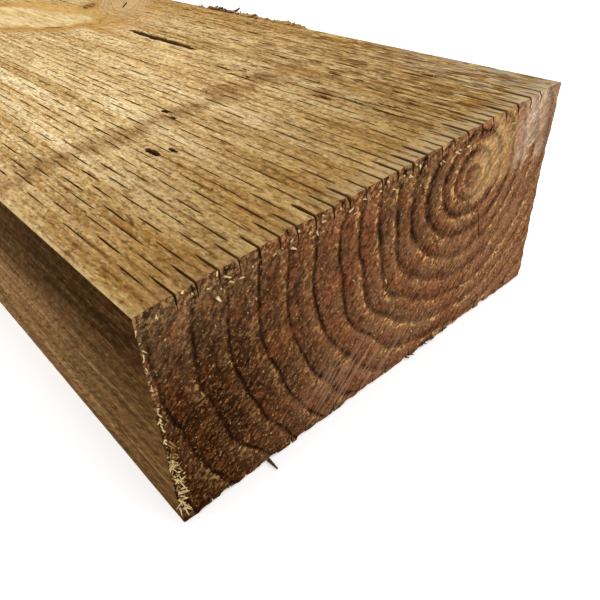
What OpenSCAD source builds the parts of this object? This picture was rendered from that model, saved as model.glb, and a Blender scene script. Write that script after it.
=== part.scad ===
// Railway sleeper: one piece of sawn, incised and treated softwood, lying on a wide face.
// X runs along the timber, Y across the wide faces and Z up, from the middle of the underside.

/* [Timber] */
// Length between the two sawn ends
timber_l = 2400; // [900:100:3000]
// Width of the wide faces
timber_w = 200; // [150:5:300]
// Thickness between the wide faces
timber_t = 95; // [70:5:150]
// Radius that sawing and handling leave on the four long edges
arris_r = 1.5; // [0.5:0.25:5]

/* [Incising of the wide faces] */
// Length of one incision, on the face
slit_l = 18.5; // [13:0.5:24]
// Width of one incision
slit_w = 0.9; // [0.5:0.1:2]
// Depth of one incision, at its middle
slit_d = 6; // [2:0.5:9]
// Distance along a row from one incision to the next
slit_pitch = 32; // [26:0.5:50]
// Distance across the face from one row to the next
row_pitch = 3.77; // [2.5:0.01:8]
// How far every other row is set back along the timber
row_stagger = 14.5; // [0:0.5:20]
// Bare margin between a long edge and the first row
row_margin = 9.5; // [5:0.5:20]
// From the sawn end at +X back to the middle of the incisions that it opens
saw_offset = 4; // [0:0.5:9]
// How far in from each sawn end the incisions are cut
incised_reach = 60; // [10:1:100]

/* [Drying split in the upper face] */
// Length of the split, along the grain
split_l = 66; // [20:1:120]
// Width of the split, at its middle
split_w = 3.6; // [1:0.1:8]
// Depth of the split
split_d = 5; // [1:0.5:20]
// From the sawn end at +X back to the middle of the split
split_back = 203; // [100:1:400]
// From the middle of the face across to the split, towards +Y
split_across = 43; // [-50:1:50]

/* [Bark pockets in the upper face] */
// Length of each pocket, along the grain
pocket_l = [10, 6, 5, 4]; // [2:0.5:20]
// Width of each pocket, at its middle
pocket_w = [4.5, 2.5, 3.5, 2.5]; // [1:0.5:8]
// Depth of the pockets
pocket_d = 3; // [1:0.5:10]
// From the sawn end at +X back to the middle of each pocket
pocket_back = [80, 75, 110, 101]; // [70:1:170]
// From the middle of the face across to each pocket, towards +Y
pocket_across = [-42, -36, -16, -18]; // [-60:1:30]

/* [Hidden] */
$fn = 64;

// How far a cutter stands clear of the face that it cuts
clear = 1;

// Radius of the round-nosed tooth that leaves an incision of that length and depth
tooth_r = arc_r(slit_l, slit_d);

// Last row of incisions that fits between the two margins, counted from 0
last_row = floor((timber_w - 2 * row_margin) / row_pitch);

// Last incision of a row that the sawn end at -X can reach, counted from 0
last_slit = ceil(timber_l / slit_pitch);

// Radius of the arc with this chord and this rise
function arc_r(chord, rise) = (chord * chord / 4 + rise * rise) / (2 * rise);

// Middle of an incision: odd rows start at the saw's offset, even rows are set back by the stagger
function slit_x(row, i) =
  timber_l / 2 - saw_offset - (row % 2 == 0 ? row_stagger : 0) - i * slit_pitch;
function row_y(row) = -timber_w / 2 + row_margin + row * row_pitch;

// An incision is cut if it is in the timber and its middle lies within reach of a sawn end
function from_end(x) = timber_l / 2 - abs(x);
function is_cut(x) = from_end(x) > -slit_l / 2 && from_end(x) < incised_reach;

// The sawn section, with its four arrises
module section() {
  flat_w = timber_w - 2 * arris_r;
  flat_t = timber_t - 2 * arris_r;
  translate([0, timber_t / 2]) {
    square([timber_w, flat_t], center = true);
    square([flat_w, timber_t], center = true);
    for (y = [-1, 1], z = [-1, 1])
      translate([y * flat_w / 2, z * flat_t / 2]) circle(r = arris_r);
  }
}

// The timber as the saw leaves it
module sawn_blank() {
  translate([-timber_l / 2, 0, 0])
    rotate([90, 0, 90])
      linear_extrude(height = timber_l) section();
}

// One tooth of the incising roller, at its deepest in a face at z = 0
module tooth() {
  translate([0, 0, tooth_r - slit_d])
    rotate([90, 0, 0]) cylinder(r = tooth_r, h = slit_w, center = true);
}

// The teeth that mark one face, near both sawn ends
module teeth() {
  for (row = [0 : last_row], i = [0 : last_slit])
    if (is_cut(slit_x(row, i)))
      translate([slit_x(row, i), row_y(row), 0]) tooth();
}

// An opening with pointed ends along the grain, cut down into a face at z = 0
module pointed_opening(length, width, depth) {
  r = arc_r(length, width / 2);
  translate([0, 0, -depth])
    linear_extrude(height = depth + clear)
      intersection() {
        translate([0, r - width / 2]) circle(r = r);
        translate([0, width / 2 - r]) circle(r = r);
      }
}

// The drying split and the bark pockets of the upper face
module openings() {
  translate([timber_l / 2 - split_back, split_across, 0])
    pointed_opening(split_l, split_w, split_d);
  for (i = [0 : len(pocket_l) - 1])
    translate([timber_l / 2 - pocket_back[i], pocket_across[i], 0])
      pointed_opening(pocket_l[i], pocket_w[i], pocket_d);
}

module sleeper() {
  color("#8a6a42")
    difference() {
      sawn_blank();
      translate([0, 0, timber_t]) {
        teeth();
        openings();
      }
      rotate([180, 0, 0]) teeth();
    }
}

sleeper();
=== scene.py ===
"""Looks of the railway sleeper: one sawn, incised and pressure-treated softwood timber, lying flat.

The timber is made in the order that a mill works. A blank is sawn to size, a toothed roller incises
both wide faces, and drying and handling leave the split, the bark pockets and the torn fibres.
Meshes are in metres, in the shared frame. Patterns in the materials are in millimetres.
"""

import logging
import math
from dataclasses import dataclass
from enum import Enum, IntEnum
from typing import Callable

import bmesh
import bpy
import numpy as np
from mathutils import Matrix, Vector, noise


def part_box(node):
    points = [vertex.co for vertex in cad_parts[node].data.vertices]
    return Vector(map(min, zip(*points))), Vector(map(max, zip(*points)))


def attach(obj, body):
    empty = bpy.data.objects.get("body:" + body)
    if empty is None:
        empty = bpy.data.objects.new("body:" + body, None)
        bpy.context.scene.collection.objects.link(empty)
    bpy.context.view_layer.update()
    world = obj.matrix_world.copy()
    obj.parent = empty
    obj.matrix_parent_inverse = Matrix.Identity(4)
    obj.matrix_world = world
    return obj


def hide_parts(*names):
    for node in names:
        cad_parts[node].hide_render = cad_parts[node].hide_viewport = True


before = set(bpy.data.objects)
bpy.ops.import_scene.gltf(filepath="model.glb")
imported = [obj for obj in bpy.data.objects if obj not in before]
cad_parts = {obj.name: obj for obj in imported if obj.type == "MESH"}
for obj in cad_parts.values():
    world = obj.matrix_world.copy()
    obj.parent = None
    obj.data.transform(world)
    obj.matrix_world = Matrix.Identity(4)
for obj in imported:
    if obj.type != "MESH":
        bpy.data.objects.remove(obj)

LOG = logging.getLogger("sleeper")
MM = 0.001
NODE = "sleeper"
BODY = "root"
COLOUR_MAP = "OFBake"
# The stretch by the end at +X that the photograph shows is modelled more finely
NEAR_L = 340.0 * MM
# Places closer than this, in metres, are the same
SAME = 1e-5
# Most values of a noise lie in this span
MOST = (0.38, 0.62)
# Turn of the saw marks across the ends, in degrees
SLANT = (45.0, 0.0, 0.0)
# Half size, in millimetres, of an oval that runs right through the timber
ENDLESS = 1e9

# Settings that many nodes share
BLEND = {"data_type": "RGBA"}
TINT = {"data_type": "RGBA", "blend_type": "MULTIPLY"}
SOFT = {"interpolation_type": "SMOOTHSTEP"}
TIMES = {"operation": "MULTIPLY"}
TIMES_PLUS = {"operation": "MULTIPLY_ADD"}
PLUS = {"operation": "ADD"}
MINUS = {"operation": "SUBTRACT"}
SIZE = {"operation": "ABSOLUTE"}

Wire = bpy.types.Node | bpy.types.NodeSocket | float | str | tuple[float, ...]
Rise = tuple[Wire, ...]
Triple = tuple[float, float, float]
Faces = list[tuple[int, ...]]
Pattern = tuple[np.ndarray, Faces]


class Zone(IntEnum):
    """Material slots of the timber, by the kind of face that they dress."""

    WIDE = 0
    END = 1
    SIDE = 2
    CUT = 3


class Fibre(IntEnum):
    """Material slots of the torn fibres, by their colour."""

    PALE = 0
    BROWN = 1
    DARK = 2


def linear(colour: str) -> tuple[float, float, float, float]:
    """Turn an sRGB colour into the linear values that a shader takes.

    Args:
        colour: The colour as a hex value, such as "#c9a66b".

    Returns:
        Linear red, green, blue and an alpha of one.
    """
    parts = [int(colour[i:i + 2], 16) / 255 for i in (1, 3, 5)]
    red, green, blue = [c / 12.92 if c <= 0.04045 else ((c + 0.055) / 1.055) ** 2.4 for c in parts]
    return red, green, blue, 1.0


@dataclass(frozen=True)
class Fleck:
    """Patches of one colour: their size in millimetres, how the noise fills them and how far they cover."""

    colour: str
    size: Triple
    start: float = 0.52
    full: float = 0.64
    cover: float = 0.6
    turn: Triple = (0.0, 0.0, 0.0)


class Graph:
    """Node tree of one finish, on Object coordinates turned to millimetres."""

    apart: float = 37.3
    lumpiness: float = 0.6

    def __init__(self, name: str, roughness: float, gloss: float = 0.0) -> None:
        """Start a material.

        Args:
            name: Name of the real material and how its surface was made.
            roughness: Roughness of the whole surface.
            gloss: Specular level. Loose fibres on sawn wood leave none.
        """
        self.material = bpy.data.materials.new(name)
        self.material.use_nodes = True
        self.tree = self.material.node_tree
        self.shader = self.tree.nodes["Principled BSDF"]
        self.shader.inputs["Roughness"].default_value = roughness
        self.shader.inputs["Specular IOR Level"].default_value = gloss
        place = self.add("TexCoord").outputs["Object"]
        self.mm = self.add("VectorMath", {0: place, "Scale": 1 / MM}, operation="SCALE")
        self.x, self.y, self.z = self.add("SeparateXYZ", {0: self.mm}).outputs
        self.shift = 0.0

    def join(self, node: bpy.types.Node, key: str | int, wire: Wire) -> None:
        """Link or set one input.

        Args:
            node: Node that has the input.
            key: Name of the input, or its number among the inputs in use.
            wire: Node or socket to link, or a constant. A text is a hex colour.
        """
        live = [s for s in node.inputs if s.enabled and not s.is_unavailable]
        socket = live[key] if isinstance(key, int) else next(s for s in live if s.name == key)
        if isinstance(wire, bpy.types.Node):
            wire = next(s for s in wire.outputs if s.enabled and not s.is_unavailable)
        if isinstance(wire, bpy.types.NodeSocket):
            self.tree.links.new(wire, socket)
        else:
            socket.default_value = linear(wire) if isinstance(wire, str) else wire

    def add(self, kind: str, wires: dict[str | int, Wire] | None = None,
            stops: tuple[tuple[float, str], ...] = (), **settings: object) -> bpy.types.Node:
        """Add one node with its settings and links.

        Args:
            kind: Node type, without the words that all shader nodes start with.
            wires: What goes into each input.
            stops: Places and hex colours of a colour ramp.
            settings: Attributes of the node.

        Returns:
            The new node.
        """
        node = self.tree.nodes.new("ShaderNode" + kind)
        for key, value in settings.items():
            setattr(node, key, value)
        if stops:
            elements = node.color_ramp.elements
            while len(elements) < len(stops):
                elements.new(1.0)
            for element, (place, colour) in zip(elements, stops):
                element.position = place
                element.color = linear(colour)
        for key, wire in (wires or {}).items():
            self.join(node, key, wire)
        return node

    def mask(self, *parts: Wire | Rise, soft: bool = False) -> Wire:
        """Multiply the parts of a mask.

        Args:
            parts: Values, or rises. A rise is a measure, its values where the rise starts and is full,
                and the levels there if they aren't 0 and 1.
            soft: Whether the rises start and end softly.

        Returns:
            The mask.
        """
        style = SOFT if soft else {}
        product, *others = [self.add("MapRange", dict(enumerate(part)), **style)
                            if isinstance(part, tuple) else part for part in parts]
        for other in others:
            product = self.add("Math", {0: product, 1: other}, **TIMES)
        return product

    def paint(self, below: Wire, colour: Wire, *where: Wire | Rise, tint: bool = False,
              soft: bool = False) -> bpy.types.Node:
        """Lay a colour over another one.

        Args:
            below: The colour that is there.
            colour: The colour that is laid over it.
            where: Parts of the mask that it shows through, if it doesn't lie all over.
            tint: Whether it shades what is below, as a stain, and doesn't hide it.
            soft: Whether the rises of the mask start and end softly.

        Returns:
            The painted colour.
        """
        cover = self.mask(*where, soft=soft) if where else 1.0
        return self.add("Mix", {0: cover, 1: below, 2: colour}, **(TINT if tint else BLEND))

    def streaks(self, size: Triple, *rise: float, turn: Triple = (0.0, 0.0, 0.0),
                detail: float = 3.0) -> Wire:
        """Add an uneven pattern whose patches have a real size, set apart from every other pattern.

        Args:
            size: Length of a patch along x, y and z, in millimetres.
            rise: Values of the noise where a rise starts and is full, and the levels there.
            turn: Angles about x, y and z, in degrees, that the patches are turned by.
            detail: Number of finer layers.

        Returns:
            The pattern, or without a rise the noise itself.
        """
        self.shift += self.apart
        place = self.add("Mapping", {"Vector": self.mm, "Location": (self.shift,) * 3, "Scale": size,
                                     "Rotation": tuple(map(math.radians, turn))}, vector_type="TEXTURE")
        pattern = self.add("TexNoise", {"Vector": place, "Scale": 1.0, "Detail": detail,
                                        "Roughness": self.lumpiness})
        return self.mask((pattern, *rise)) if rise else pattern

    def dapple(self, below: Wire, *flecks: Fleck, where: Wire | None = None) -> Wire:
        """Lay patches of other colours over a colour.

        Args:
            below: The colour that is there.
            flecks: The kinds of patches, one over the other.
            where: How much of the patches shows, from 0 to 1.

        Returns:
            The dappled colour.
        """
        for fleck in flecks:
            pattern = self.streaks(fleck.size, fleck.start, fleck.full, 0.0, fleck.cover, turn=fleck.turn)
            parts = (pattern,) if where is None else (pattern, where)
            below = self.paint(below, fleck.colour, *parts)
        return below

    def reach(self, middle: Triple, half: Triple, turn: float = 0.0) -> bpy.types.NodeSocket:
        """Measure how far places lie from a middle, as a multiple of an oval's size.

        Args:
            middle: Middle of the oval, in millimetres.
            half: Half its size along x, y and z, which is ENDLESS along the depth of a face.
            turn: Angle about z, in degrees, that it is turned by.

        Returns:
            The measure, which is 1 on the oval.
        """
        turned = (0.0, 0.0, math.radians(turn))
        place = self.add("Mapping", {"Vector": self.mm, "Location": middle, "Rotation": turned,
                                     "Scale": half}, vector_type="TEXTURE")
        return self.add("VectorMath", {0: place}, operation="LENGTH").outputs["Value"]

    def finish(self, colour: Wire, height: Wire | None = None, relief: float = 0.0) -> bpy.types.Material:
        """Join the colour and the relief to the shader.

        Args:
            colour: Colour of the surface.
            height: Height of the fine relief, from 0 to 1.
            relief: What a height of 1 stands for, in millimetres.

        Returns:
            The finished material.
        """
        self.join(self.shader, "Base Color", colour)
        if height is not None:
            bump = self.add("Bump", {"Height": height, "Distance": relief * MM})
            self.join(self.shader, "Normal", bump)
        return self.material


@dataclass(frozen=True)
class Oval:
    """One oval of a knot, in millimetres and degrees.

    Its middle lies back from the sawn end at +X and across from the middle of the face. Its rim fades
    out, and its growth lines start, at multiples of its size.
    """

    middle: tuple[float, float]
    half: tuple[float, float]
    turn: float
    colour: str
    rim: str
    rim_reach: float
    lines_from: float

    def reach(self, back: float, across: float) -> float:
        """Work out how far from the middle a place lies, as a multiple of the oval's size."""
        along = self.middle[0] - back
        off = across - self.middle[1]
        cos, sin = math.cos(math.radians(self.turn)), math.sin(math.radians(self.turn))
        return math.hypot((along * cos + off * sin) / self.half[0], (off * cos - along * sin) / self.half[1])


@dataclass(frozen=True)
class Knot:
    """A knot in the upper face: a grey-brown cone, a cream heart with a golden crown, and a dark eye."""

    cone: Oval = Oval((303.0, 78.0), (54.0, 21.0), -35.0, "#c2a67c", "#c79a5e", 1.8, 0.25)
    heart: Oval = Oval((347.0, 18.0), (80.0, 27.0), 18.0, "#e6cf9b", "#b98a44", 1.25, 0.8)
    crown: Oval = Oval((340.0, 46.0), (58.0, 9.0), 10.0, "#cba45e", "#cfab6a", 1.4, 0.5)
    eye: Oval = Oval((322.0, 60.0), (8.0, 5.0), -35.0, "#5f3d1c", "#9a6c38", 2.2, 0.9)
    smooth: float = 1.15
    lines: float = 7.0

    def inside(self, back: float, across: float) -> bool:
        """Say whether a place lies in the hard wood of the knot, where the roller left no mark."""
        return min(oval.reach(back, across) for oval in (self.cone, self.heart)) < self.smooth


@dataclass(frozen=True)
class WideFace:
    """Incised face of sawn softwood, treated brown.

    The eye sees mottled tan wood in long bands, specks of dark and pale grain, brown stain along the
    rows of incisions, greyer torn wood towards the far corner, a brown band where a stacking stick lay,
    and a cream knot that the grain bends round.
    """

    dull: str = "#c09a5f"
    tan: str = "#e2c288"
    cream: str = "#f0d8a6"
    flecks: tuple[Fleck, ...] = (
        Fleck("#b8935a", (40, 12, 14), 0.48, 0.62, 0.5),
        Fleck("#9a6a38", (6, 2.4, 4), 0.54, 0.65, 0.6),
        Fleck("#6f5230", (3.4, 1.4, 1.7), 0.54, 0.65, 0.7),
        Fleck("#f0dfb4", (3.6, 1.5, 1.5), 0.53, 0.64, 0.6),
    )
    torn: tuple[Fleck, ...] = (
        Fleck("#a0763f", (24, 10, 10), 0.44, 0.58, 0.5),
        Fleck("#5c3d1b", (12, 1.9, 2), 0.5, 0.59, 0.85),
        Fleck("#d8bd88", (10, 1.5, 2), 0.54, 0.62, 0.75),
    )
    weathered: Fleck = Fleck("#a89c86", (12, 3, 5), 0.46, 0.58, 0.75)
    knotty: tuple[Fleck, ...] = (
        Fleck("#c79c5c", (26, 3.2, 6), 0.5, 0.62, 0.55),
        Fleck("#8c6230", (7, 1.3, 3), 0.54, 0.63, 0.5),
    )
    end_shade: str = "#beae92"
    far_shade: str = "#ddd2be"
    stain: str = "#97703f"
    # Brown of torn wood in hollows, with painted shade that darkens it deeper below the face
    hollow_brown_and_shade: str = "#5f4326"
    tab: str = "#b9a684"
    # Colour of the painted highlight along the rounded arrises
    arris: str = "#d4ba84"
    bent: str = "#8a5f2c"
    stick_back: float = 104.0
    stick_w: float = 13.0
    streak_across: float = 38.0
    streak_w: float = 10.0

    def material(self, size: Triple, row_pitch: float, knot: Knot) -> bpy.types.Material:
        """Make the finish.

        Args:
            size: Length, width and thickness of the timber, in millimetres.
            row_pitch: Distance between the rows of incisions, in millimetres.
            knot: The knot in the upper face.

        Returns:
            The material.
        """
        half_l, half_w, half_t = (side / 2 for side in size)
        g = Graph("sawn_incised_softwood", 0.85)
        along = g.add("Math", {0: g.x}, **SIZE)
        from_end = g.add("Math", {0: half_l, 1: along}, **MINUS)
        back = g.add("Math", {0: half_l, 1: g.x}, **MINUS)
        upper = g.mask((g.z, half_t - 2.5, half_t + 2.5))

        # Long bands of early and late wood, dappled with patches, rust and specks of grain
        colour = g.add("ValToRGB", {0: g.streaks((240, 8, 40))}, stops=(
            (0.37, self.dull), (0.5, self.tan), (0.64, self.cream)))
        colour = g.dapple(colour, *self.flecks)
        fibres = g.streaks((34, 0.8, 2), *MOST, 0.86, 1.12)
        mottle = g.streaks((2.2, 1.1, 1.6), *MOST, 0.77, 1.2, detail=4)
        texture = g.mask(fibres, mottle)
        colour = g.paint(colour, texture, tint=True)

        # Shade towards one edge and towards the sawn ends
        colour = g.paint(colour, self.far_shade, (g.y, 10, 95), tint=True, soft=True)
        colour = g.paint(colour, self.end_shade, (from_end, 150, 0), tint=True, soft=True)

        # Stain along the rows of incisions
        row = g.add("Math", {0: g.y, 1: row_pitch}, operation="DIVIDE")
        off_row = g.add("Math", {0: row, 1: 0.5}, operation="PINGPONG")
        creep = g.streaks((14, 3, 4), 0.46, 0.62)
        colour = g.paint(colour, self.stain, (off_row, 0.3, 0.05, 0, 0.7), creep, tint=True, soft=True)

        # Broken band where a stacking stick lay
        drift = g.streaks((26, 15, 30), 0, 1, -18, 18)
        off_stick = g.add("Math", {0: back, 1: drift}, **PLUS)
        off_stick = g.add("Math", {0: off_stick, 1: self.stick_back}, **MINUS)
        off_stick = g.add("Math", {0: off_stick}, **SIZE)
        stick = g.mask((off_stick, self.stick_w, 0, 0, 0.55), soft=True)
        colour = g.paint(colour, self.stain, stick, (g.y, 76, 44), upper, tint=True)

        # Torn grain towards the far corner, with one brown streak in it and bleached wood at the corner
        torn_x = g.mask((back, 215, 70), soft=True)
        torn = g.mask((g.y, 20, 76), torn_x, soft=True)
        colour = g.dapple(colour, *self.torn, where=torn)
        off_streak = g.add("Math", {0: g.y, 1: self.streak_across}, **MINUS)
        off_streak = g.add("Math", {0: off_streak}, **SIZE)
        colour = g.paint(colour, self.stain, (off_streak, self.streak_w, 0, 0, 0.65), torn_x, creep,
                         tint=True, soft=True)
        colour = g.dapple(colour, self.weathered, where=g.mask((g.y, 70, 94), (back, 110, 40)))

        # Pale tabs between the incisions that the saw opened, more of them towards the far edge
        tabs = g.mask((from_end, 15, 4), soft=True)
        colour = g.paint(colour, self.tab, tabs, (off_row, 0.1, 0.3), (g.y, -40, 30, 0.1, 0.65))

        # The knot: ovals with a brown rim, and grain bent round them in thin lines
        sway = g.streaks((44, 16, 30), 0, 1, -0.28, 0.28, detail=1)
        grain = g.mask(g.streaks((50, 2.6, 30), 0.4, 0.56, 0.45, 0.95), upper)
        rimmed = g.mask((g.y, 60, 25, 0.3, 0.8), upper)
        for oval in (knot.cone, knot.heart, knot.crown, knot.eye):
            middle = (half_l - oval.middle[0], oval.middle[1], 0.0)
            out = g.reach(middle, (*oval.half, ENDLESS), oval.turn)
            out = g.add("Math", {0: out, 1: sway}, **PLUS)
            colour = g.paint(colour, oval.rim, (out, oval.rim_reach, 1), rimmed, soft=True)
            colour = g.paint(colour, oval.colour, (out, 0.95, 0.72), grain, soft=True)
            hard = g.mask((out, 1.3, 0.9), upper, soft=True)
            colour = g.dapple(colour, *self.knotty, where=hard)
            line = g.add("Math", {0: out, 1: knot.lines}, **TIMES)
            line = g.add("Math", {0: line, 1: 0.5}, operation="PINGPONG")
            colour = g.paint(colour, self.bent, (line, 0.22, 0.03, 0, 0.6),
                             (out, oval.lines_from, oval.lines_from + 0.15), (out, 1.7, 1), grain)

        # Painted highlight along the rounded arrises, broken up by noise, and brown with painted shade in
        # whatever lies below the face
        edge = g.add("Math", {0: g.y}, **SIZE)
        highlight_breaks = g.streaks((9, 60, 60), 0.44, 0.6)
        colour = g.paint(colour, self.arris, (edge, half_w - 1.1, half_w - 0.5, 0, 0.8), highlight_breaks)
        level = g.add("Math", {0: g.z, 1: half_t}, **MINUS)
        level = g.add("Math", {0: level}, **SIZE)
        # Painted shade: more of the brown shows deeper below the face, away from the arrises
        colour = g.paint(colour, self.hollow_brown_and_shade, (level, half_t - 0.04, half_t - 0.7, 0, 0.75),
                         (edge, half_w - 1.4, half_w - 1.8))
        return g.finish(colour, texture, 0.5)


@dataclass(frozen=True)
class SawnEnd:
    """End grain of softwood, cross-cut by a coarse saw and treated dark brown.

    The eye sees growth rings about a pith as thin broken lines with brighter wood outside them,
    slanting saw marks, pits and bright fibre ends all over, and paler dry wood above the pith.
    """

    pith: tuple[float, float] = (47.0, 75.0)
    first_ring: float = 4.02
    ring_step: float = 6.745
    ring_growth: float = 0.236
    sways: tuple[tuple[Triple, float], ...] = (((90, 40, 40), 5.0), ((60, 9, 9), 0.9), ((30, 2.4, 2.4), 0.5))
    dark: str = "#391f0d"
    warm: str = "#94694b"
    late: str = "#1e1008"
    early: str = "#a8764c"
    # Greyer, paler brown on the upper corner of the other side
    greyer_corner: str = "#84694b"
    pale: str = "#bd9865"
    pink: str = "#cbae94"
    rim: str = "#9c7a60"
    smear: str = "#26150a"
    smears: tuple[tuple[tuple[float, float], tuple[float, float], float], ...] = (
        ((-72.0, 52.0), (13.0, 30.0), 0.6),
        ((20.0, 76.0), (26.0, 24.0), 0.4),
    )
    ruddy: Fleck = Fleck("#84452a", (40, 24, 14), 0.46, 0.62, 0.5)
    flecks: tuple[Fleck, ...] = (
        Fleck("#9a5c30", (9, 6, 2.2), 0.53, 0.65, 0.36, SLANT),
        Fleck("#221208", (3, 2.8, 1.6), 0.51, 0.62, 0.55, SLANT),
        Fleck("#b6834f", (2, 1.5, 1.1), 0.55, 0.65, 0.38, SLANT),
        Fleck("#dcb980", (1.4, 1.2, 1.2), 0.645, 0.7, 0.85),
    )
    gold: Fleck = Fleck("#e0b070", (2.2, 2.0, 1.6), 0.51, 0.59, 0.95, SLANT)
    scored: Fleck = Fleck("#b0866a", (30, 26, 1.7), 0.46, 0.58, 0.55, SLANT)

    def rings(self, g: Graph) -> tuple[Wire, Wire]:
        """Work out how far from the pith, and how far through its year's growth, a place is.

        Args:
            g: The finish's node tree.

        Returns:
            The radius in millimetres, and a node that goes from 0 to 1 through each ring.
        """
        radius = g.reach((0.0, *self.pith), (ENDLESS, 1.0, 1.0))
        for size, sway in self.sways:
            drift = g.streaks(size, 0, 1, -sway, sway, detail=1)
            radius = g.add("Math", {0: radius, 1: drift}, **PLUS)
        # Ring radii grow as a quadratic in the ring number, so the number is its root
        grown = g.add("Math", {0: radius, 1: self.first_ring}, **MINUS)
        grown = g.add("Math", {0: grown, 1: 4 * self.ring_growth, 2: self.ring_step ** 2}, **TIMES_PLUS)
        grown = g.add("Math", {0: grown}, operation="SQRT")
        number = g.add("Math", {0: grown, 1: self.ring_step}, **MINUS)
        number = g.add("Math", {0: number, 1: 2 * self.ring_growth}, operation="DIVIDE")
        return radius, g.add("Math", {0: number}, operation="FRACT")

    def material(self) -> bpy.types.Material:
        """Make the finish."""
        g = Graph("sawn_softwood_end_grain", 0.75)
        radius, year = self.rings(g)

        # Brown that warms from one side to the other, darker where the treatment soaked in
        colour = g.paint(self.dark, self.warm, (g.y, -80, 70))
        here = g.mask((g.x, -1, 1))
        for middle, half, cover in self.smears:
            soaked = g.reach((0.0, *middle), (ENDLESS, *half))
            colour = g.paint(colour, self.smear, (soaked, 1.4, 0.2, 0, cover), here, soft=True)

        # Paler dry wood above the pith, and a greyer, paler brown on the upper corner of the other side
        ragged = g.streaks((40, 16, 9), 0, 1, -16, 16)
        slope = g.add("Math", {0: g.y, 1: -0.04, 2: 70.0}, **TIMES_PLUS)
        slope = g.add("Math", {0: slope, 1: ragged}, **PLUS)
        above = g.add("Math", {0: g.z, 1: slope}, **MINUS)
        lean = g.add("Math", {0: g.z, 1: -0.45, 2: g.y}, **TIMES_PLUS)
        lean = g.add("Math", {0: lean, 1: ragged}, **PLUS)
        dry = g.mask((above, -2, 2), (lean, 11, 16), here)
        dry_colour = g.add("ValToRGB", {0: g.mask((g.y, 0, 100))}, stops=(
            (0.7, self.pale), (0.8, self.pink), (0.89, self.pink), (0.95, self.rim)))
        colour = g.paint(colour, dry_colour, dry)
        colour = g.paint(colour, self.greyer_corner, (g.y, -40, -90), (g.z, 60, 90, 0, 0.45))

        # Patches, pits and fibre ends, fewer of them in the dry wood, and slanting saw marks
        colour = g.dapple(colour, self.ruddy, where=g.mask((g.y, -75, -30, 0.2, 1)))
        colour = g.dapple(colour, *self.flecks, where=g.mask((dry, 0, 1, 1, 0.15)))
        saw = g.streaks((60, 26, 1.1), *MOST, 0.62, 1.36, turn=SLANT, detail=4)
        grit = g.streaks((1.7, 1.4, 1.4), *MOST, 0.6, 1.4, detail=4)
        texture = g.mask(saw, grit)
        colour = g.paint(colour, texture, (dry, 0, 1, 1, 0.8), tint=True)

        # Late wood closes each ring, as a thin broken line on one side and as a soft band under the pith.
        # It shows less in the dry wood, by the pith, below it and towards the far edge
        fade = g.streaks((50, 9, 9), 0.4, 0.56, 0.5, 1)
        under = g.mask((g.y, -30, 20, 0, -0.5), (g.z, 70, 40))
        under = g.add("Math", {0: under, 1: 1.0}, **PLUS)
        shown = g.mask(fade, (dry, 0, 1, 1, 0.65), (g.y, 90, 55, 0.5, 1), (radius, 3, 20, 0.6, 1), under)
        start = g.mask((g.y, -40, 30, 0.82, 0.43))
        peak = g.mask((g.y, -40, 30, 0.93, 0.84))
        late = g.mask((year, start, peak), soft=True)
        colour = g.paint(colour, self.late, late, (year, 1, peak, 0.1, 1), shown)

        # Bright early wood just outside each line, a scored patch, and bright fibre ends in clusters
        uneven = g.streaks((20, 6, 4), 0.44, 0.6, 0.05, 0.5, turn=SLANT)
        colour = g.paint(colour, self.early, (year, 0.45, 0.12), (year, 0, 0.12, 0.2, 1),
                         (g.y, -60, 10, 0.25, 1), uneven)
        scored = g.reach((0.0, -13.0, 15.0), (ENDLESS, 34.0, 22.0))
        colour = g.dapple(colour, self.scored, where=g.mask((scored, 1.2, 0.4), soft=True))
        clusters = g.streaks((30, 14, 9), 0.46, 0.56, 0.2, 1.3, detail=2)
        outside = g.mask((year, 0.4, 0.06, 0.05, 1), (g.y, -50, 40, 0.35, 1.1), clusters)
        at_top = g.mask((g.z, 84, 93, 0, 0.4))
        bright = g.add("Math", {0: outside, 1: at_top}, operation="MAXIMUM")
        colour = g.dapple(colour, self.gold, where=bright)
        return g.finish(colour, texture, 0.4)


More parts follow.
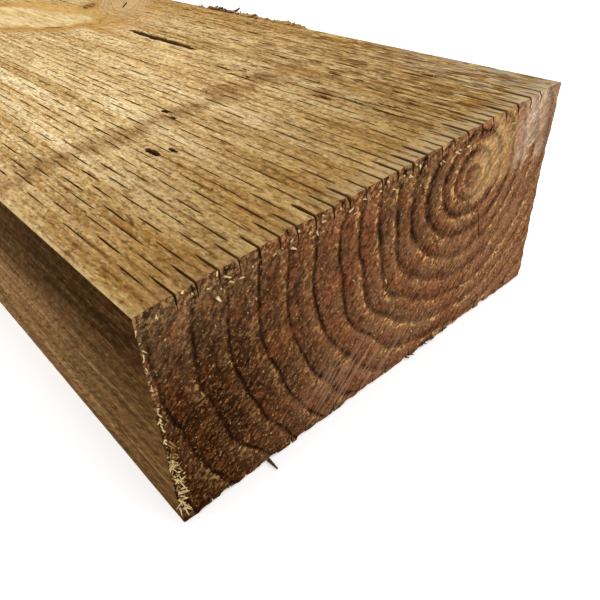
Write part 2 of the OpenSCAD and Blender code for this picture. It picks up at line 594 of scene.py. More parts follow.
@dataclass(frozen=True)
class SawnSide:
    """Narrow face of softwood, rough from a band saw and stained dark by the treatment.

    The eye sees chocolate brown above and lighter brown below, with slanting saw marks and soft
    ledges along the grain, drawn as pale lines of painted highlight.
    """

    dark: str = "#4e3822"
    light: str = "#92704a"
    end_shade: str = "#bfb4a6"
    end_l: float = 120.0
    # Colour of the painted highlight on the soft ledges along the grain
    ledge_highlight: str = "#b49060"
    ledges: tuple[float, float] = (44.0, 19.0)
    flecks: tuple[Fleck, ...] = (
        Fleck("#33210f", (12, 8, 1.6), 0.52, 0.63, 0.5, (0.0, -30.0, 0.0)),
        Fleck("#a68252", (9, 8, 1.5), 0.56, 0.67, 0.4),
        Fleck("#5d3c1f", (90, 20, 2.6), 0.5, 0.6, 0.55),
    )

    def material(self, length: float) -> bpy.types.Material:
        """Make the finish.

        Args:
            length: Length of the timber, in millimetres.

        Returns:
            The material.
        """
        g = Graph("rough_sawn_softwood_side", 0.85)
        level = g.add("Math", {0: g.z, 1: g.streaks((220, 200, 24), 0, 1, -40, 40)}, **PLUS)
        upper = g.mask((level, 30, 76), soft=True)
        colour = g.paint(self.light, self.dark, upper)
        along = g.add("Math", {0: g.x}, **SIZE)
        colour = g.paint(colour, self.end_shade, (along, length / 2 - self.end_l, length / 2),
                         tint=True, soft=True)
        waver = g.streaks((60, 60, 10), 0, 1, -9, 9)
        broken = g.streaks((34, 30, 5), 0.4, 0.58, 0, 0.6)
        level = g.add("Math", {0: g.z, 1: waver}, **PLUS)
        # Pale lines of painted highlight where soft ledges along the grain catch the light
        for height in self.ledges:
            off = g.add("Math", {0: level, 1: height}, **MINUS)
            off = g.add("Math", {0: off}, **SIZE)
            colour = g.paint(colour, self.ledge_highlight, (off, 3, 0.3), broken, soft=True)
        colour = g.dapple(colour, *self.flecks, where=g.mask((upper, 0, 1, 1, 0.5)))
        saw = g.streaks((11, 8, 1.7), *MOST, 0.78, 1.22, turn=(0.0, -40.0, 0.0))
        bands = g.streaks((90, 20, 5), *MOST, 0.72, 1.26, detail=2)
        grit = g.streaks((2.6, 2, 1.6), *MOST, 0.76, 1.22, detail=4)
        texture = g.mask(saw, bands, grit)
        return g.finish(g.paint(colour, texture, tint=True), texture, 0.5)


@dataclass(frozen=True)
class CutWall:
    """Torn wall of an incision or a split, brown with the treatment's stain at its lip and darkened below by
    painted shade.
    """

    lip: str = "#86623a"
    # Wall and root colours are painted shade, darker deeper in the cut
    wall: str = "#5a3d20"
    root: str = "#332211"
    depth: float = 6.0

    def material(self, thickness: float) -> bpy.types.Material:
        """Make the finish.

        Args:
            thickness: Distance between the wide faces, in millimetres.

        Returns:
            The material.
        """
        g = Graph("treated_softwood_incision_wall", 0.9)
        level = g.add("Math", {0: g.z, 1: thickness / 2}, **MINUS)
        level = g.add("Math", {0: level}, **SIZE)
        # Painted shade: the colour darkens from the lip with depth into the cut
        below = g.mask((level, thickness / 2, thickness / 2 - self.depth))
        return g.finish(g.add("ValToRGB", {0: below}, stops=(
            (0.0, self.lip), (0.14, self.wall), (0.6, self.root))))


@dataclass(frozen=True)
class TornFibre:
    """Broken wood fibre that dried after the treatment, so it keeps one even colour."""

    colours: tuple[str, str, str] = ("#e2ca92", "#a9834c", "#503821")
    names: tuple[str, str, str] = ("dry_pale_fibre", "dry_brown_fibre", "treated_dark_fibre")

    def materials(self) -> list[bpy.types.Material]:
        """Make one finish for each kind of fibre."""
        return [Graph(name, 0.6, 0.2).finish(colour) for name, colour in zip(self.names, self.colours)]


def deselect() -> None:
    """Deselect every object, so that an operator acts on the next new one only."""
    bpy.ops.object.select_all(action="DESELECT")


def activate(piece: bpy.types.Object) -> None:
    """Make one object the only selected one and the active one."""
    deselect()
    piece.select_set(True)
    bpy.context.view_layer.objects.active = piece


class Pick(Enum):
    """Parts of a mesh that are selected in edit mode, by the name of their list."""

    VERT = "verts"
    EDGE = "edges"


def select(pick: Pick, test: Callable[..., bool]) -> None:
    """Select parts of the mesh in edit mode by their place.

    Args:
        pick: Kind of part.
        test: Says whether a part is wanted, from the place of a point or of both ends of an edge.
    """
    bpy.ops.mesh.select_mode(type=pick.name)
    bpy.ops.mesh.select_all(action="DESELECT")
    mesh = bmesh.from_edit_mesh(bpy.context.object.data)
    for part in getattr(mesh, pick.value):
        ends = (part,) if pick is Pick.VERT else part.verts
        part.select_set(test(*(point.co for point in ends)))
    mesh.select_flush_mode()
    bmesh.update_edit_mesh(bpy.context.object.data)


def values_of(items: bpy.types.bpy_prop_collection, key: str, kind: type = int,
              width: int = 1) -> np.ndarray:
    """Read an attribute of every item of a mesh.

    Args:
        items: Points, corners or faces of the mesh.
        key: Name of the attribute.
        kind: Kind of number.
        width: Numbers in one value.

    Returns:
        The values, a row for each item where a value has several numbers.
    """
    values = np.zeros(width * len(items), dtype=kind)
    items.foreach_get(key, values)
    return values.reshape(-1, width) if width > 1 else values


def take_pattern(piece: bpy.types.Object) -> Pattern:
    """Take the mesh off a modelled pattern piece, which is then removed.

    Args:
        piece: Object with the mesh.

    Returns:
        Its points and its faces.
    """
    mesh = piece.data
    points = values_of(mesh.vertices, "co", float, 3)
    faces = [tuple(face.vertices) for face in mesh.polygons]
    bpy.data.objects.remove(piece)
    bpy.data.meshes.remove(mesh)
    return points, faces


def joined(name: str, stamps: list[Pattern]) -> bpy.types.Object:
    """Join many copies of patterns into one object.

    Args:
        name: Name of the object.
        stamps: Points of each copy in their place, with its faces.

    Returns:
        The new object.
    """
    faces: Faces = []
    count = 0
    for points, sides in stamps:
        faces += [tuple(count + corner for corner in side) for side in sides]
        count += len(points)
    mesh = bpy.data.meshes.new(name)
    mesh.from_pydata(np.concatenate([points for points, _ in stamps]).tolist(), [], faces)
    mesh.update()
    piece = bpy.data.objects.new(name, mesh)
    bpy.context.collection.objects.link(piece)
    return piece


def cut(piece: bpy.types.Object, cutter: bpy.types.Object, zone: Zone) -> None:
    """Cut one object out of another, and remove the cutter.

    Args:
        piece: Object that is cut.
        cutter: Closed mesh that takes material away.
        zone: Slot of the faces that the cut leaves.
    """
    for finish in piece.data.materials:
        cutter.data.materials.append(finish)
    cutter.data.polygons.foreach_set("material_index", [int(zone)] * len(cutter.data.polygons))
    activate(piece)
    boolean = piece.modifiers.new("cut", "BOOLEAN")
    boolean.operation = "DIFFERENCE"
    boolean.solver = "MANIFOLD"
    boolean.object = cutter
    bpy.ops.object.modifier_apply(modifier=boolean.name)
    mesh = cutter.data
    bpy.data.objects.remove(cutter)
    bpy.data.meshes.remove(mesh)


def ramp(value: float, low: float, high: float) -> float:
    """Smooth step from 0 at the low value to 1 at the high one."""
    part = min(max((value - low) / (high - low), 0.0), 1.0)
    return part * part * (3.0 - 2.0 * part)


def unevenness(*place: float) -> float:
    """Smooth noise from 0 to 1 at a place."""
    return 0.5 + 0.5 * noise.noise(Vector(place))


@dataclass
class Incising:
    """Rows of incisions that a toothed roller presses into both wide faces.

    The teeth differ by parts of their size and stray by millimetres. The incisions open towards the
    sawn ends. On the upper face they have closed up further back, and among the torn grain of the far
    edge many are lost. These changes go over spans back from the end and across, in millimetres.
    """

    slit_l: float = 18.5 * MM
    slit_w: float = 0.62 * MM
    slit_d: float = 6.0 * MM
    slit_pitch: float = 32.0 * MM
    row_pitch: float = 3.77 * MM
    row_stagger: float = 14.5 * MM
    row_margin: float = 9.5 * MM
    saw_offset: float = 4.0 * MM
    clear: float = 0.5 * MM
    sides: tuple[int, int] = (6, 10)
    flank: float = 1.65
    smallest: Triple = (0.86, 0.65, 0.85)
    largest: Triple = (1.08, 1.3, 1.1)
    ragged: tuple[float, float] = (0.7, 1.3)
    stray: tuple[float, float] = (0.6, 0.18)
    skew: float = 0.008
    open_back: tuple[float, float] = (45.0, 0.0)
    burst_back: tuple[float, float] = (13.0, 3.0)
    burst_across: tuple[float, float] = (-110.0, 20.0)
    closed_back: tuple[float, float] = (170.0, 290.0)
    torn_back: tuple[float, float] = (25.0, 110.0)
    torn_across: tuple[float, float] = (-20.0, 50.0)
    seed: int = 11

    def tooth(self, sides: int) -> Pattern:
        """Model one tooth of unit size: a slim outline above, drawn to a keel below.

        Args:
            sides: Number of sides of its outline.

        Returns:
            Its points and faces.
        """
        deselect()
        bpy.ops.mesh.primitive_cylinder_add(vertices=sides, radius=0.5, depth=1.0,
                                            rotation=(0.0, 0.0, math.pi / 2))
        bpy.ops.object.transform_apply(location=True, rotation=True, scale=True)
        bpy.ops.object.mode_set(mode="EDIT")
        for side in (-1, 1):
            select(Pick.VERT, lambda place: place.z < 0 and place.x * side > 1e-4)
            bpy.ops.mesh.merge(type="CENTER")
        # The flanks run almost parallel, so the outline's middle points move out towards its ends
        select(Pick.VERT, lambda place: place.z > 0 and abs(place.x) < 0.3)
        bpy.ops.transform.resize(value=(self.flank, 1.0, 1.0), center_override=(0.0, 0.0, 0.5))
        bpy.ops.object.mode_set(mode="OBJECT")
        return take_pattern(bpy.context.object)

    def cutter(self, length: float, width: float, thickness: float, knot: Knot) -> bpy.types.Object:
        """Lay out the teeth over both wide faces.

        Args:
            length: Length of the timber.
            width: Width of its wide faces.
            thickness: Distance between them.
            knot: The knot, which the teeth left unmarked.

        Returns:
            All the teeth as one object.
        """
        rng = np.random.default_rng(self.seed)
        plain, fine = [self.tooth(sides) for sides in self.sides]
        rows = int((width - 2 * self.row_margin) / self.row_pitch) + 1
        count = math.ceil(length / self.slit_pitch) + 1
        stamps = []
        for upper in (True, False):
            for row in range(rows):
                start = length / 2 - self.saw_offset - (self.row_stagger if row % 2 == 0 else 0.0)
                y = -width / 2 + self.row_margin + row * self.row_pitch
                for number in range(count):
                    x = start - number * self.slit_pitch
                    jitter = rng.normal(size=3)
                    size = rng.uniform(self.smallest, self.largest)
                    ragged = rng.uniform(*self.ragged, size=len(fine[0]))
                    lost = rng.random()
                    back = length / 2 - x
                    if x < -length / 2 - 0.45 * self.slit_l:
                        continue
                    if upper and knot.inside(back / MM, y / MM):
                        continue
                    from_end = min(back, x + length / 2)
                    burst = ramp(from_end / MM, *self.burst_back) * ramp(y / MM, *self.burst_across)
                    spread = 1.0 + 0.6 * ramp(from_end / MM, *self.open_back) + (0.1 + 1.1 * lost) * burst
                    if upper:
                        closed = ramp(back / MM, *self.closed_back)
                        torn = ramp(y / MM, *self.torn_across) * ramp(back / MM, *self.torn_back)
                        if lost < 0.4 * torn:
                            continue
                        spread *= 1.0 - 0.3 * closed
                        size[0] *= 1.0 - 0.6 * lost * max(closed, torn)
                        size[1] *= 1.0 + 0.5 * torn * jitter[0]
                        jitter[2] *= 1.0 + 2.0 * torn
                    finer = upper and back < NEAR_L
                    points, faces = fine if finer else plain
                    size = size * (self.slit_l, self.slit_w * spread, self.slit_d + self.clear)
                    points = points * size + (0.0, 0.0, self.clear - size[2] / 2)
                    if finer:
                        points[:, 1] *= ragged
                    points[:, 1] += points[:, 0] * jitter[0] * self.skew
                    points += (x + jitter[1] * self.stray[0] * MM, y + jitter[2] * self.stray[1] * MM, 0.0)
                    points = points + (0, 0, thickness) if upper else points * (1, -1, -1)
                    stamps.append((points, faces))
        return joined("incising_teeth", stamps)


@dataclass(frozen=True)
class Gash:
    """One opening along the grain: its size, its place on a face and how it is turned there.

    All in millimetres and degrees. On the upper face the place is back from the end at +X and across.
    On the end face it is across and up.
    """

    length: float
    width: float
    depth: float
    place: tuple[float, float]
    turn: float = 0.0


@dataclass
class Openings:
    """The drying split, the bark pockets, the cracks, and the streaks where the saw tore fibres out."""

    split: Gash = Gash(72, 5.2, 1.7, (203, 43))
    pockets: tuple[Gash, ...] = (Gash(10, 3.4, 3, (80, -42)), Gash(6, 2.2, 3, (75, -36)),
                                 Gash(5, 3.0, 3, (110, -16)), Gash(4, 2.2, 3, (101, -18)))
    tears: tuple[Gash, ...] = (Gash(16, 1.8, 2, (297, 75), -42), Gash(16, 2.2, 2, (294, 18), 33),
                               Gash(5, 1.6, 1.5, (122, 30), 10), Gash(4, 1.4, 1.5, (112, 32), -15))
    streaks: tuple[Gash, ...] = (Gash(8, 1.5, 1, (65, 35)), Gash(14, 1.4, 1, (54, 38.5)),
                                 Gash(10, 1.5, 1, (39, 43)), Gash(16, 1.8, 1, (34, 37.5)),
                                 Gash(6, 1.6, 1, (121, 38)), Gash(11, 1.5, 1, (122, 60)),
                                 Gash(17, 1.5, 1, (85, 68.5)), Gash(5, 2.0, 1, (67, 57.5)),
                                 Gash(6, 2.0, 1, (45, 56)), Gash(7, 1.8, 1, (46, 78)),
                                 Gash(8, 1.5, 1, (81, 57)), Gash(5, 1.2, 1, (90, 30)))
    checks: tuple[Gash, ...] = (Gash(17, 0.7, 4, (57, 49), -75), Gash(9, 0.6, 3, (47.5, 63), -85),
                                Gash(8, 0.5, 3, (53, 69), 40))
    sides: int = 84
    clear: float = 1.0 * MM

    def shape(self, gash: Gash, pattern: Pattern) -> Pattern:
        """Shape one opening with ragged flanks, at the origin, cut down from z = 0.

        Args:
            gash: The opening.
            pattern: Unit cylinder.

        Returns:
            Points and faces of its cutter.
        """
        points = pattern[0].copy()
        below = points[:, 2] < 0
        for place in points:
            station = place[0] * gash.length
            side = math.copysign(7.0, place[1])
            ragged = 0.4 + 1.2 * unevenness(station / 1.6, side, gash.length)
            drift = unevenness(station / 7.0, 31.0, gash.length) - 0.5
            place[1] = math.copysign(abs(2 * place[1]) ** 0.7 / 2, place[1]) * ragged + drift * 0.45
        points[below] *= (0.94, 0.6, 1.0)
        points[:, 0] *= gash.length * MM
        points[:, 1] *= gash.width * MM
        points[:, 2] = np.where(below, -gash.depth * MM, self.clear)
        turn = Matrix.Rotation(math.radians(gash.turn), 3, "Z")
        return points @ np.array(turn).T, pattern[1]

    def cutter(self, length: float, thickness: float) -> bpy.types.Object:
        """Place the openings of the upper face and of the end at +X.

        Args:
            length: Length of the timber.
            thickness: Distance between its wide faces.

        Returns:
            All the cutters as one object.
        """
        deselect()
        bpy.ops.mesh.primitive_cylinder_add(vertices=self.sides, radius=0.5, depth=1.0)
        unit = take_pattern(bpy.context.object)
        stamps = []
        for gash in (self.split, *self.pockets, *self.tears, *self.streaks):
            points, faces = self.shape(gash, unit)
            back, across = gash.place
            stamps.append((points + (length / 2 - back * MM, across * MM, thickness), faces))
        for gash in self.checks:
            points, faces = self.shape(gash, unit)
            across, up = gash.place
            points = points[:, (2, 0, 1)] + (length / 2, across * MM, up * MM)
            stamps.append((points, faces))
        return joined("openings", stamps)


@dataclass
class TornGrain:
    """Shallow hollows where the saw tore fibres out of the upper face, towards its far corner."""

    count: int = 150
    back: tuple[float, float] = (6.0, 235.0)
    across: tuple[float, float] = (34.0, 94.0)
    smallest: Triple = (6.0, 0.9, 0.3)
    largest: Triple = (22.0, 2.4, 0.9)
    ragged: tuple[float, float] = (0.75, 1.25)
    skew: float = 0.04
    seed: int = 29

    def cutter(self, length: float, thickness: float) -> bpy.types.Object:
        """Scatter the hollows, each clear of the others.

        Args:
            length: Length of the timber.
            thickness: Distance between its wide faces.

        Returns:
            All the hollows as one object.
        """
        deselect()
        bpy.ops.mesh.primitive_uv_sphere_add(segments=10, ring_count=6, radius=0.5)
        unit, faces = take_pattern(bpy.context.object)
        rng = np.random.default_rng(self.seed)
        taken: list[np.ndarray] = []
        stamps = []
        for _ in range(self.count):
            back = self.back[0] + (self.back[1] - self.back[0]) * rng.random() ** 1.5
            across = self.across[1] - (self.across[1] - self.across[0]) * rng.random() ** 1.3
            size = rng.uniform(self.smallest, self.largest)
            turn = rng.normal() * self.skew
            ragged = rng.uniform(*self.ragged, size=len(unit))
            box = np.array((back, across, size[0] + 1.0, size[1] + 0.6))
            if any(abs(box[0] - t[0]) < (box[2] + t[2]) / 2 and abs(box[1] - t[1]) < (box[3] + t[3]) / 2
                   for t in taken):
                continue
            taken.append(box)
            # A ball with its middle above the face leaves only its lower cap as a hollow
            points = unit * size * (1.0, 1.0, 3.2)
            points[:, 1] *= ragged
            points[:, 1] += points[:, 0] * turn
            points[:, 2] += 0.6 * size[2]
            stamps.append((points * MM + (length / 2 - back * MM, across * MM, thickness), faces))
        return joined("torn_grain", stamps)


@dataclass(frozen=True)
class Layout:
    """Where the faces of the timber lie on its colour map.

    The stretch by the sawn end at +X has the finest scale, because the knot, the split and the torn
    grain are there. The walls of all incisions share one patch, as their colour depends on depth only.
    """

    near_u: tuple[float, float] = (0.003, 0.7)
    full_u: tuple[float, float] = (0.003, 0.997)
    small_u: tuple[float, float] = (0.93, 0.997)
    arris: float = 1.5
    deepest: float = 7.0
    longest: float = 75.0

    def lay(self, piece: bpy.types.Object, size: Triple, near: float) -> None:
        """Lay the faces out on the map.

        Args:
            piece: The timber.
            size: Its length, width and thickness, in millimetres.
            near: Place along x where the finer stretch starts, in millimetres.
        """
        mesh = piece.data
        count = values_of(mesh.polygons, "loop_total")
        zone = np.repeat(values_of(mesh.polygons, "material_index"), count)
        middle = values_of(mesh.polygons, "center", float, 3) / MM
        mid_x, mid_y, mid_z = np.repeat(middle, count, axis=0).T
        x, y, z = values_of(mesh.vertices, "co", float, 3)[values_of(mesh.loops, "vertex_index")].T / MM
        start = np.repeat(np.minimum.reduceat(x, np.cumsum(count) - count), count)
        half_l, half_w = size[0] / 2, size[1] / 2
        depth = np.minimum(z, size[2] - z)
        # A rounded arris is unrolled, so that its steep strips keep their width
        unrolled = np.where(np.abs(y) > half_w - self.arris, y + np.sign(y) * depth, y)
        upper = mid_z > size[2] / 2
        close = mid_x > near
        wide, end, side, wall = (zone == kind for kind in Zone)
        front = side & (mid_y < 0)
        far_l, near_l, full_l = (-half_l, near), (near, half_l), (-half_l, half_l)
        wide_w, end_w = (-half_w - self.arris, half_w + self.arris), (-half_w, half_w)
        narrow = (0.0, size[2])
        places = np.zeros((len(mesh.loops), 2))
        # Each patch: its faces, the stretch that they take along and across, and its place on the map
        for held, along, stretch, across, spread, u, v in (
            (wide & upper & ~close, x, far_l, unrolled, wide_w, self.full_u, (0.003, 0.105)),
            (wide & ~upper, x, full_l, unrolled, wide_w, self.full_u, (0.11, 0.212)),
            (side & (mid_y > 0), x, full_l, z, narrow, self.full_u, (0.217, 0.27)),
            (front & ~close, x, far_l, z, narrow, self.full_u, (0.275, 0.328)),
            (wide & upper & close, x, near_l, unrolled, wide_w, self.near_u, (0.335, 0.76)),
            (front & close, x, near_l, z, narrow, self.near_u, (0.765, 0.997)),
            (end & (mid_x > 0), z, narrow, y, end_w, (0.71, 0.92), (0.335, 0.78)),
            (end & (mid_x < 0), z, narrow, y, end_w, self.small_u, (0.335, 0.48)),
            (wall, x - start, (0.0, self.longest), depth, (0.0, self.deepest), self.small_u, (0.5, 0.54)),
        ):
            places[held, 0] = np.interp(along[held], stretch, u)
            places[held, 1] = np.interp(across[held], spread, v)
        mesh.uv_layers.new(name=COLOUR_MAP).data.foreach_set("uv", places.ravel())


@dataclass
class Timber:
    """The sawn timber, from its blank to its dressed faces.

    What the saw and handling broke away is given by its greatest depth, in millimetres.
    """

    low: Vector
    high: Vector
    arris_r: float = 1.0 * MM
    end_cell: float = 1.25 * MM
    hollow: float = 0.9
    rough: float = 0.45
    chip: float = 1.1
    tab: float = 2.4
    bite: float = 1.6
    nick: float = 1.1
    dent: float = 1.3
    lump_l: float = 4.0 * MM
    arris_cuts: int = 170
    torn_edge: tuple[float, float] = (4.0 * MM, 42.0 * MM)
    torn_w: float = 4.0 * MM
    crease: float = 12.0

    def __post_init__(self) -> None:
        """Work the overall sizes out of the box that the frame gives."""
        self.length, self.width, self.thickness = self.high - self.low

    def blank(self) -> bpy.types.Object:
        """Saw the blank: a gridded end, drawn out along the timber, with rounded arrises.

        Returns:
            The blank.
        """
        size = (1.0, self.width, self.thickness)
        middle = Vector((self.length / 2, 0.0, self.thickness / 2))
        deselect()
        bpy.ops.mesh.primitive_grid_add(
            x_subdivisions=round(self.thickness / self.end_cell),
            y_subdivisions=round(self.width / self.end_cell),
            size=1.0, location=middle, rotation=(0.0, math.pi / 2, 0.0))
        bpy.ops.object.transform_apply(location=True, rotation=True, scale=True)
        piece = bpy.context.object
        piece.name = piece.data.name = "timber"
        bpy.ops.object.mode_set(mode="EDIT")
        bpy.ops.mesh.select_all(action="SELECT")
        bpy.ops.transform.resize(value=size, center_override=middle)
        bpy.ops.mesh.extrude_region_move(TRANSFORM_OT_translate={"value": (-self.length, 0.0, 0.0)})
        bpy.ops.mesh.select_all(action="SELECT")
        bpy.ops.mesh.normals_make_consistent(inside=False)
        select(Pick.EDGE, lambda a, b: abs(a.x - b.x) > self.length / 2 and not self.on_corner(a))
        bpy.ops.mesh.dissolve_edges(use_verts=False)
        select(Pick.EDGE, lambda a, b: abs(a.x - b.x) > self.length / 2 and self.on_corner(a))
        bpy.ops.mesh.bevel(offset=self.arris_r, segments=3, profile=0.5, affect="EDGES")
        bpy.ops.mesh.select_all(action="SELECT")
        bpy.ops.mesh.bisect(plane_co=(self.length / 2 - NEAR_L, 0.0, 0.0), plane_no=(1.0, 0.0, 0.0))
        for y in (-1, 1):
            for z in (0.0, self.thickness):
                select(Pick.EDGE, lambda a, b: abs(a.x - b.x) > NEAR_L / 2
                       and self.on_arris(a, y, z) and self.on_arris(b, y, z))
                bpy.ops.mesh.subdivide(number_cuts=self.arris_cuts)
        bpy.ops.object.mode_set(mode="OBJECT")
        return piece

    def on_corner(self, place: Vector) -> bool:
        """Say whether a point lies on one of the four sharp long edges."""
        off_y = abs(abs(place.y) - self.width / 2)
        off_z = min(abs(place.z), abs(place.z - self.thickness))
        return max(off_y, off_z) < SAME

    def on_arris(self, place: Vector, side: int, level: float) -> bool:
        """Say whether a point lies on the rounded arris at one side and level."""
        near = self.arris_r + SAME
        return place.y * side > self.width / 2 - near and abs(place.z - level) < near

    def end_recess(self, y: float, z: float, end: float, incising: Incising) -> float:
        """Depth of a sawn end below its plane, which the saw left hollow with broken edges.

        Args:
            y: Place across the end.
            z: Place up the end.
            end: 1 for the end at +X, -1 for the other one.
            incising: The incising, whose rows part the tabs of wood along the edge.

        Returns:
            The depth, never negative.
        """
        hollow = self.hollow * unevenness(y / 0.075, z / 0.06, end * 3.3)
        rough = self.rough * unevenness(y / self.lump_l, z / self.lump_l, end * 7.1)
        off_edge = min(self.width / 2 - abs(y), z, self.thickness - z)
        chipped = 0.0
        if off_edge < 0.5 * self.end_cell:
            lump = unevenness(y / self.lump_l, z / self.lump_l, end * 5.7)
            chipped = 0.2 + self.chip * max(0.0, lump - 0.35)
        # Each tab of wood between two rows of incisions has broken off at its own depth
        tab = math.floor((y + self.width / 2 - incising.row_margin) / incising.row_pitch)
        off_wide = min(z, self.thickness - z)
        broken = unevenness(tab * 2.7, end * 4.1, z > off_wide)
        chipped += self.tab * max(0.0, broken - 0.4) * ramp(off_wide / MM, 5.0, 0.0)
        low, high = self.torn_edge
        if y < -self.width / 2 + self.torn_w and low < z < high:
            bite = math.sin(math.pi * (z - low) / (high - low))
            inward = 1.0 - (y + self.width / 2) / self.torn_w
            chipped += self.bite * bite * inward * unevenness(z / 0.003, end * 9.1, 0.0)
        return (hollow + rough + chipped) * MM

    def weather(self, piece: bpy.types.Object, incising: Incising) -> None:
        """Hollow the sawn ends a little and nick the arrises, all inside the sawn size.

        Args:
            piece: The blank.
            incising: The incising, whose rows part the wood that breaks away at the sawn edge.
        """
        points = values_of(piece.data.vertices, "co", float, 3)
        for place in points:
            x, y, z = place
            if self.length / 2 - abs(x) < SAME:
                end = math.copysign(1.0, x)
                place[0] -= end * self.end_recess(y, z, end, incising)
            off_y = self.width / 2 - abs(y)
            off_z = min(z, self.thickness - z)
            if max(off_y, off_z) < self.arris_r + SAME:
                edge = math.copysign(5.0, y) + (11.0 if z > self.thickness / 2 else 0.0)
                nick = self.nick * max(0.0, unevenness(x / 0.005, edge, 0.0) - 0.42)
                nick += self.dent * max(0.0, unevenness(x / 0.021, edge, 7.0) - 0.55)
                nick *= MM / self.arris_r
                place[1] -= math.copysign(nick * off_y, y)
                place[2] += math.copysign(nick * off_z, self.thickness / 2 - z)
        piece.data.vertices.foreach_set("co", points.ravel())
        piece.data.update()

    def sort_faces(self, piece: bpy.types.Object) -> None:
        """Give each face of the blank the slot of its zone.

        Args:
            piece: The blank.
        """
        for face in piece.data.polygons:
            if abs(face.normal.x) > 0.5:
                face.material_index = Zone.END
            elif abs(face.normal.y) > 0.95:
                face.material_index = Zone.SIDE
            else:
                face.material_index = Zone.WIDE

    def build(self, incising: Incising, knot: Knot) -> bpy.types.Object:
        """Make the timber from its blank to its cuts.

        Args:
            incising: The incising of its wide faces.
            knot: The knot in its upper face.

        Returns:
            The finished timber.
        """
        piece = self.blank()
        self.sort_faces(piece)
        self.weather(piece, incising)
        size = (self.length / MM, self.width / MM, self.thickness / MM)
        for finish in (WideFace().material(size, incising.row_pitch / MM, knot), SawnEnd().material(),
                       SawnSide().material(size[0]), CutWall().material(size[2])):
            piece.data.materials.append(finish)
        cut(piece, TornGrain().cutter(self.length, self.thickness), Zone.WIDE)
        cut(piece, incising.cutter(self.length, self.width, self.thickness, knot), Zone.CUT)
        cut(piece, Openings().cutter(self.length, self.thickness), Zone.CUT)
        activate(piece)
        bpy.ops.object.shade_smooth_by_angle(angle=math.radians(self.crease))
        Layout().lay(piece, size, (self.length / 2 - NEAR_L) / MM)
        return piece


@dataclass(frozen=True)
class FibreBed:
    """A patch of torn fibres, in millimetres: back from the end at +X, across and up.

    The fibres are rooted in a box between two corners, point one way, and bend towards another.
    """

    low: Triple
    high: Triple
    point: Triple
    count: int
    length: tuple[float, float]
    thick: tuple[float, float]
    kind: Fibre
    stray: float = 0.35
    bend: Triple = (0.0, 0.0, 0.0)


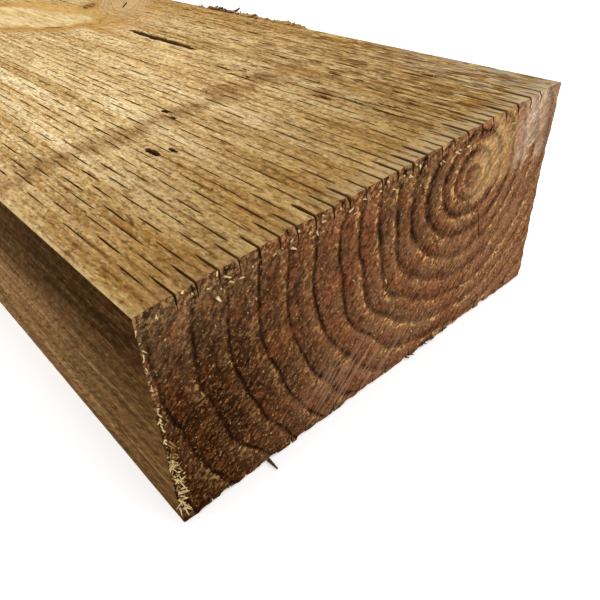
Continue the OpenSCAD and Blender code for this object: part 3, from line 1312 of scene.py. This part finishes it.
@dataclass
class TornFibres:
    """Fibres that sawing and handling broke loose along the edges and on the faces."""

    beds: tuple[FibreBed, ...] = (
        # Curled fibres that hang on the near edge of the sawn end
        FibreBed((0.3, -99.9, 6), (1.3, -97.5, 38), (-0.1, 0.15, -0.5), 60,
                 (1.2, 2.6), (0.6, 1.0), Fibre.PALE),
        FibreBed((0.3, -99.9, 4), (1.5, -96.5, 44), (-0.1, 0.15, -0.6), 34,
                 (1.2, 2.6), (0.5, 0.9), Fibre.BROWN),
        FibreBed((0.3, -99.8, 40), (1.0, -99.2, 92), (-0.1, 0, -0.5), 40,
                 (0.8, 1.6), (0.4, 0.7), Fibre.PALE, 0.2),
        # Lumps of bark fibre along the far edge
        FibreBed((140, 98.6, 93.8), (240, 99.4, 94.6), (1.0, 0.1, 0.06), 80,
                 (3, 7), (1.6, 3.0), Fibre.BROWN, 0.12),
        FibreBed((188, 98.8, 94.0), (232, 99.8, 95.0), (-1.0, 0.1, 0.1), 40,
                 (3, 6), (2.0, 3.6), Fibre.DARK, 0.16),
        FibreBed((150, 98.8, 94.0), (228, 99.8, 94.9), (-1.0, 0.1, 0.1), 60,
                 (3, 6), (2.0, 3.4), Fibre.BROWN, 0.16),
        # Slivers raised from the torn grain, and a few that stand up
        FibreBed((10, 40, 94.4), (220, 96, 94.8), (1.0, 0.0, 0.04), 110,
                 (4, 12), (0.7, 1.3), Fibre.BROWN, 0.03, (0, 0, 0.02)),
        FibreBed((8, 30, 94.4), (150, 96, 94.8), (-1.0, 0.0, 0.04), 50,
                 (3, 8), (0.6, 1.1), Fibre.BROWN, 0.03, (0, 0, 0.02)),
        FibreBed((28, 50, 94.2), (44, 75, 94.6), (0.2, 0.3, 0.9), 6,
                 (4, 7), (0.35, 0.5), Fibre.BROWN, 0.4, (0.3, 0.2, -0.2)),
        # Bright fibre ends along the top of the sawn end and over it
        FibreBed((0.6, -94, 86), (1.6, 72, 94.4), (-0.5, 0.1, 0.3), 60,
                 (0.8, 1.8), (0.8, 1.5), Fibre.PALE, 0.4),
        FibreBed((0.9, -97, 4), (1.4, 97, 90), (-0.6, 0.0, 0.4), 46,
                 (0.8, 1.7), (0.6, 1.1), Fibre.PALE),
        # Splinters at the lower edge of the sawn end
        FibreBed((0.8, -61, 0.9), (0.9, -60.8, 1.0), (-1.0, 0.0, -0.08), 1,
                 (5.2, 5.4), (1.8, 1.9), Fibre.DARK, 0.0),
        FibreBed((0.9, 17, 0.6), (1.8, 42, 2.2), (-0.3, 0.9, -0.1), 26,
                 (1.2, 2.6), (0.8, 1.4), Fibre.DARK, 0.25),
        # The other sawn end
        FibreBed((2398.4, -94, 88), (2399.4, 94, 94.4), (0.8, 0.1, 0.1), 60,
                 (0.8, 2.2), (0.35, 0.6), Fibre.PALE, 0.8, (0, 0, -0.2)),
        FibreBed((2398.0, 98.8, 5), (2399.5, 99.9, 60), (0.25, 0.15, -0.8), 40,
                 (2, 4), (0.4, 0.8), Fibre.BROWN, 0.55, (0.3, -0.5, 0.1)),
    )
    stations: int = 3
    curl: tuple[float, float] = (0.3, 1.3)
    lowest: float = 0.05
    seed: int = 41

    def sliver(self) -> Pattern:
        """Model one straight fibre of unit length, three-sided and drawn to a tip.

        Returns:
            Its points and faces.
        """
        deselect()
        bpy.ops.mesh.primitive_cone_add(vertices=3, radius1=0.5, radius2=0.2, depth=1.0,
                                        location=(0.0, 0.0, 0.5))
        bpy.ops.object.transform_apply(location=True, rotation=True, scale=True)
        bpy.ops.object.mode_set(mode="EDIT")
        select(Pick.EDGE, lambda a, b: abs(a.z - b.z) > 0.5)
        bpy.ops.mesh.subdivide(number_cuts=self.stations)
        bpy.ops.object.mode_set(mode="OBJECT")
        return take_pattern(bpy.context.object)

    def build(self, length: float) -> bpy.types.Object:
        """Grow every bed.

        Args:
            length: Length of the timber.

        Returns:
            All the fibres as one object.
        """
        rng = np.random.default_rng(self.seed)
        unit, faces = self.sliver()
        stamps = []
        kinds: list[int] = []
        for bed in self.beds:
            for _ in range(bed.count):
                root = rng.uniform(bed.low, bed.high)
                size = rng.uniform(*bed.length)
                thick = rng.uniform(*bed.thick)
                point = np.array(bed.point) + bed.stray * rng.normal(size=3)
                bend = np.array(bed.bend) * rng.uniform(*self.curl) + bed.stray * rng.normal(size=3)
                point[0] *= -1
                bend[0] *= -1
                root[0] = length / 2 / MM - root[0]
                way = Vector(point).normalized()
                turn = np.array(way.to_track_quat("Z", "X").to_matrix())
                places = (unit * (thick, thick, size)) @ turn.T + unit[:, 2:3] ** 2 * bend * size
                places = places + root
                # Nothing hangs below the face that the timber lies on
                places[:, 2] = np.maximum(places[:, 2], self.lowest)
                stamps.append((places * MM, faces))
                kinds += [int(bed.kind)] * len(faces)
        piece = joined("torn_fibres", stamps)
        for finish in TornFibre().materials():
            piece.data.materials.append(finish)
        piece.data.polygons.foreach_set("material_index", kinds)
        piece.data.polygons.foreach_set("use_smooth", [True] * len(kinds))
        self.lay(piece, unit, faces, kinds)
        return piece

    def lay(self, piece: bpy.types.Object, unit: np.ndarray, faces: Faces, kinds: list[int]) -> None:
        """Lay the fibres out on their colour map, with all fibres of a kind on one patch.

        Args:
            piece: The fibres.
            unit: Points of one fibre of unit size.
            faces: Its faces.
            kinds: Kind of each face of the piece.
        """
        rows = []
        for face in faces:
            turn = [math.atan2(unit[p][1], unit[p][0]) / math.tau + 0.5 for p in face]
            if max(turn) - min(turn) > 0.5:
                turn = [t + 1.0 if t < 0.5 else t for t in turn]
            rows += [(unit[p][2], t / 2) for p, t in zip(face, turn)]
        fibre = np.array(rows)
        patches = len(Fibre)
        places = [fibre * (0.98, 0.9 / patches) + (0.01, (kind + 0.05) / patches)
                  for kind in kinds[::len(faces)]]
        piece.data.uv_layers.new(name=COLOUR_MAP).data.foreach_set("uv", np.concatenate(places).ravel())


@dataclass
class Studio:
    """Pale floor, soft light and the camera at the photograph's view."""

    floor_half: float = 8.0
    floor_glow: float = 0.4
    floor_gap: float = 0.3 * MM
    room_glow: float = 0.66
    softbox_at: Triple = (0.9, 0.35, 1.5)
    softbox_size: tuple[float, float] = (2.6, 1.6)
    softbox_power: float = 23.0
    eye: Triple = (1.31646, -0.14783, 0.19596)
    right: Triple = (0.59856, 0.79199, -0.12034)
    down: Triple = (0.43082, -0.4449, -0.78515)
    focal_px: float = 623.22
    image_px: float = 600.0
    centre_px: tuple[float, float] = (209.35, 289.36)

    def lay_floor(self) -> None:
        """Lay the floor just under the timber."""
        deselect()
        bpy.ops.mesh.primitive_plane_add(size=2 * self.floor_half, location=(0.0, 0.0, -self.floor_gap))
        floor = bpy.context.object
        floor.name = "floor"
        backdrop = Graph("lit_white_backdrop", 1.0)
        backdrop.shader.inputs["Emission Color"].default_value = linear("#ffffff")
        backdrop.shader.inputs["Emission Strength"].default_value = self.floor_glow
        floor.data.materials.append(backdrop.finish("#f4f4f4"))

    def hang_lights(self) -> None:
        """Hang a large softbox over the timber and light the room evenly."""
        world = bpy.data.worlds.new("white_room")
        world.use_nodes = True
        background = world.node_tree.nodes["Background"]
        background.inputs["Color"].default_value = linear("#ffffff")
        background.inputs["Strength"].default_value = self.room_glow
        bpy.context.scene.world = world
        deselect()
        bpy.ops.object.light_add(type="AREA", location=self.softbox_at)
        softbox = bpy.context.object
        softbox.data.shape = "RECTANGLE"
        softbox.data.size, softbox.data.size_y = self.softbox_size
        softbox.data.energy = self.softbox_power
        bpy.context.scene.view_settings.view_transform = "Standard"

    def set_camera(self) -> None:
        """Set the camera where the photograph was taken from."""
        data = bpy.data.cameras.new("camera")
        camera = bpy.data.objects.new("camera", data)
        bpy.context.collection.objects.link(camera)
        right = Vector(self.right)
        up = -Vector(self.down)
        back = right.cross(up)
        turn = Matrix((right, up, back)).transposed().to_4x4()
        camera.matrix_world = Matrix.Translation(self.eye) @ turn
        data.sensor_width = 36.0
        data.lens = self.focal_px / self.image_px * data.sensor_width
        data.shift_x = 0.5 - self.centre_px[0] / self.image_px
        data.shift_y = self.centre_px[1] / self.image_px - 0.5
        data.clip_start = 0.01
        bpy.context.scene.camera = camera


def main() -> None:
    """Build the timber and the studio, and note the sizes."""
    logging.basicConfig(level=logging.INFO, format="%(message)s")
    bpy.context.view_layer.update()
    timber = Timber(*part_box(NODE))
    pieces = [timber.build(Incising(), Knot()), TornFibres().build(timber.length)]
    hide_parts(NODE)
    for piece in pieces:
        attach(piece, BODY)
        piece.data.calc_loop_triangles()
        LOG.info("%s: %d triangles", piece.name, len(piece.data.loop_triangles))
    studio = Studio()
    studio.lay_floor()
    studio.hang_lights()
    studio.set_camera()


if __name__ == "__main__":
    main()
